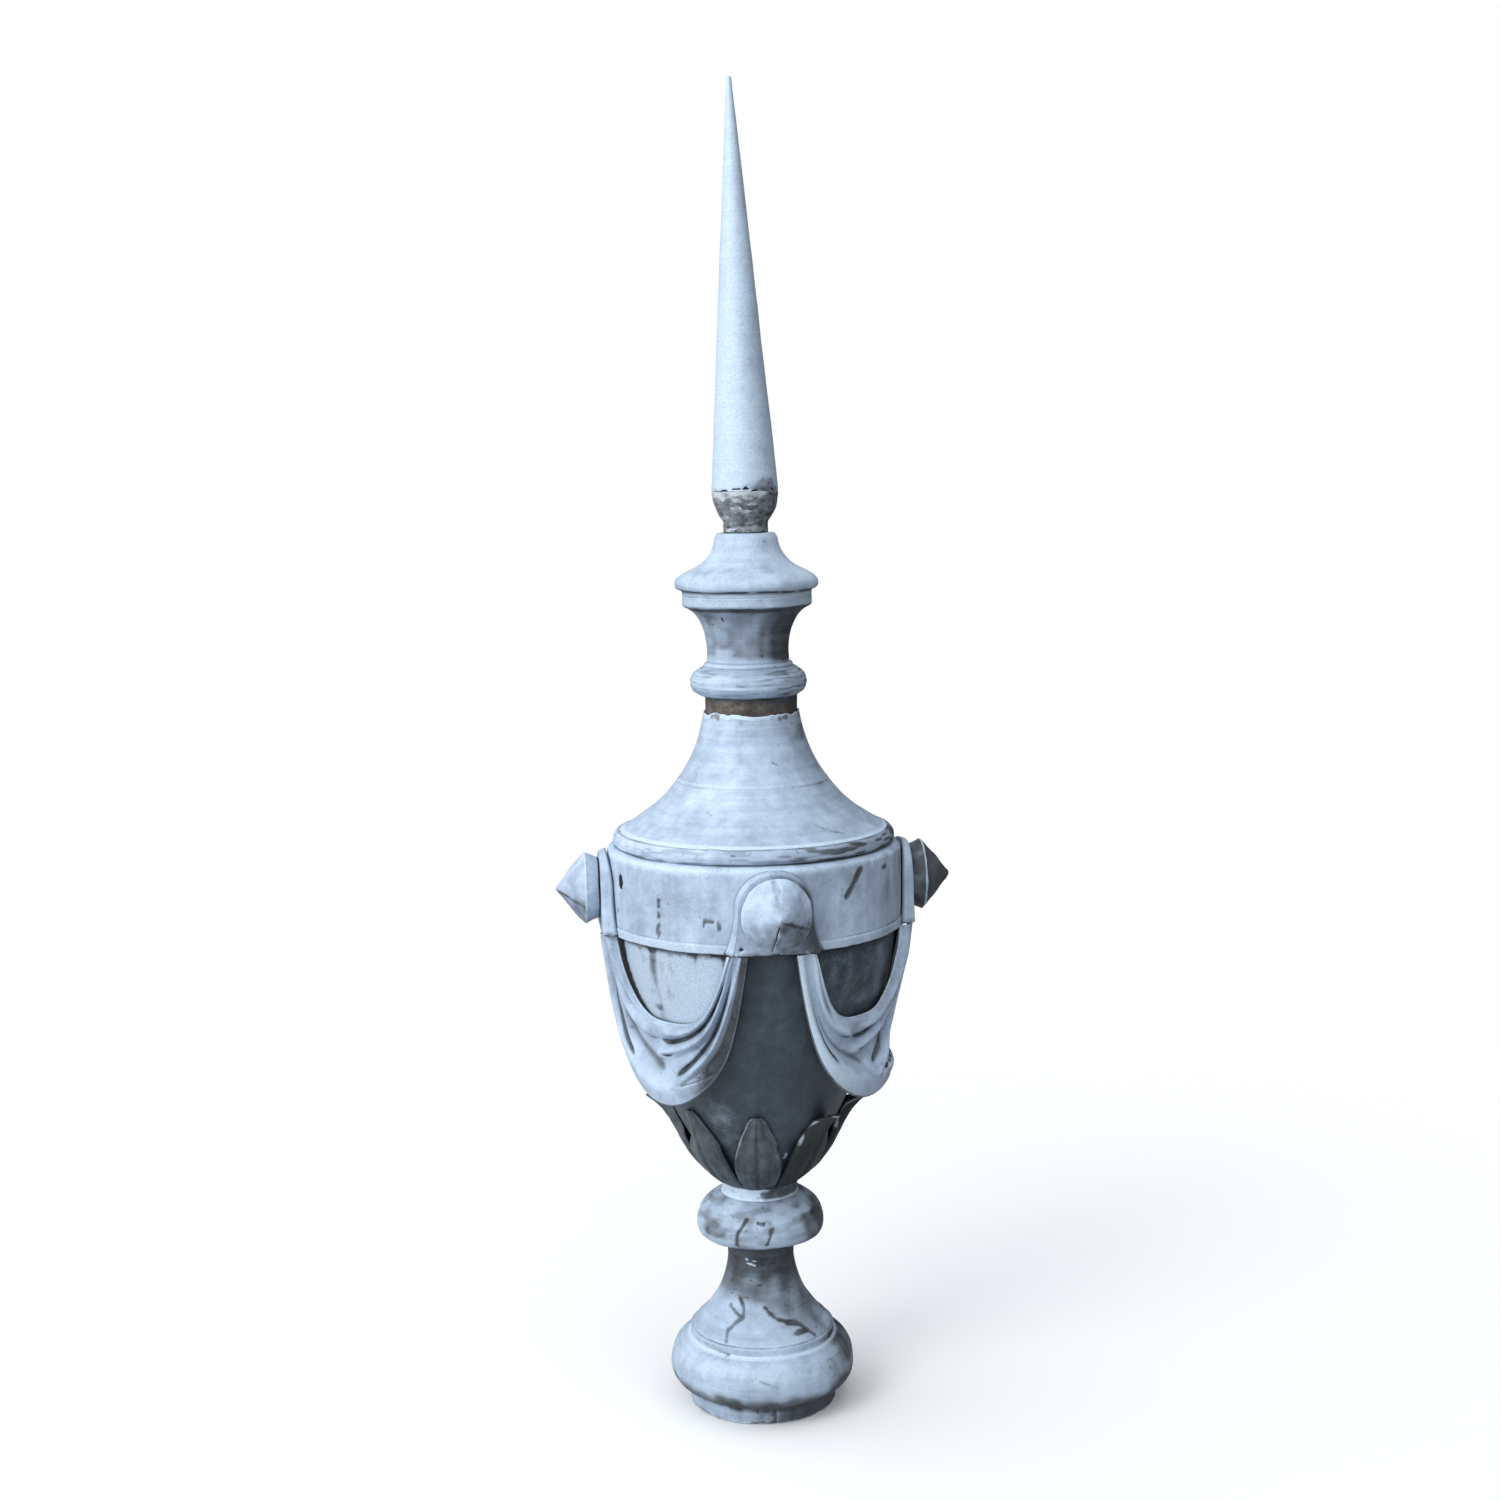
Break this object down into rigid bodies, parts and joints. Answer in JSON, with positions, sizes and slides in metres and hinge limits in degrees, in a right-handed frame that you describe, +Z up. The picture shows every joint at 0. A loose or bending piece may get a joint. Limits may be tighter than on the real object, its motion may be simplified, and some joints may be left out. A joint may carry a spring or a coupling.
{
  "type": "roof finial",
  "caption": "Tall zinc roof finial: a draped urn with pointed bosses and water leaves on a turned foot, a bell-shaped lid and a long slim spire.",
  "frame": {"origin": "centre of the flat underside of the base collar", "axes": "+Z up along the finial's axis, one pointed boss facing -Y and one facing +X"},
  "size_m": [0.6, 0.6, 1.9999],
  "materials": {
    "pale_zinc": "weathered sheet zinc, pale blue-grey and matt",
    "bowl_zinc": "weathered sheet zinc, dark slate grey and matt",
    "leaf_zinc": "weathered stamped zinc, dark greenish grey",
    "bare_sleeve": "bare brown metal with dried flux and dirt",
    "knob_zinc": "mottled grey-brown zinc with pale scuffs"
  },
  "bodies": {
    "root": {"base_collar": "pale_zinc", "foot_torus": "pale_zinc", "stem": "pale_zinc", "knop": "pale_zinc", "neck_ring": "pale_zinc", "urn_bowl": "bowl_zinc", "urn_drum": "pale_zinc", "rim_bead": "pale_zinc", "urn_lid": "pale_zinc", "neck_sleeve": "bare_sleeve", "neck_moulding": "pale_zinc", "cap": "pale_zinc", "spire_knob": "knob_zinc", "spire_cone": "pale_zinc", "leaf_1": "leaf_zinc", "leaf_2": "leaf_zinc", "leaf_3": "leaf_zinc", "leaf_4": "leaf_zinc", "leaf_5": "leaf_zinc", "leaf_6": "leaf_zinc", "leaf_7": "leaf_zinc", "leaf_8": "leaf_zinc", "boss_plate_1": "pale_zinc", "boss_plate_2": "pale_zinc", "boss_plate_3": "pale_zinc", "boss_plate_4": "pale_zinc", "boss_1": "pale_zinc", "boss_2": "pale_zinc", "boss_3": "pale_zinc", "boss_4": "pale_zinc", "swag_1": "pale_zinc", "swag_2": "pale_zinc", "swag_3": "pale_zinc", "swag_4": "pale_zinc"}
  },
  "joints": []
}
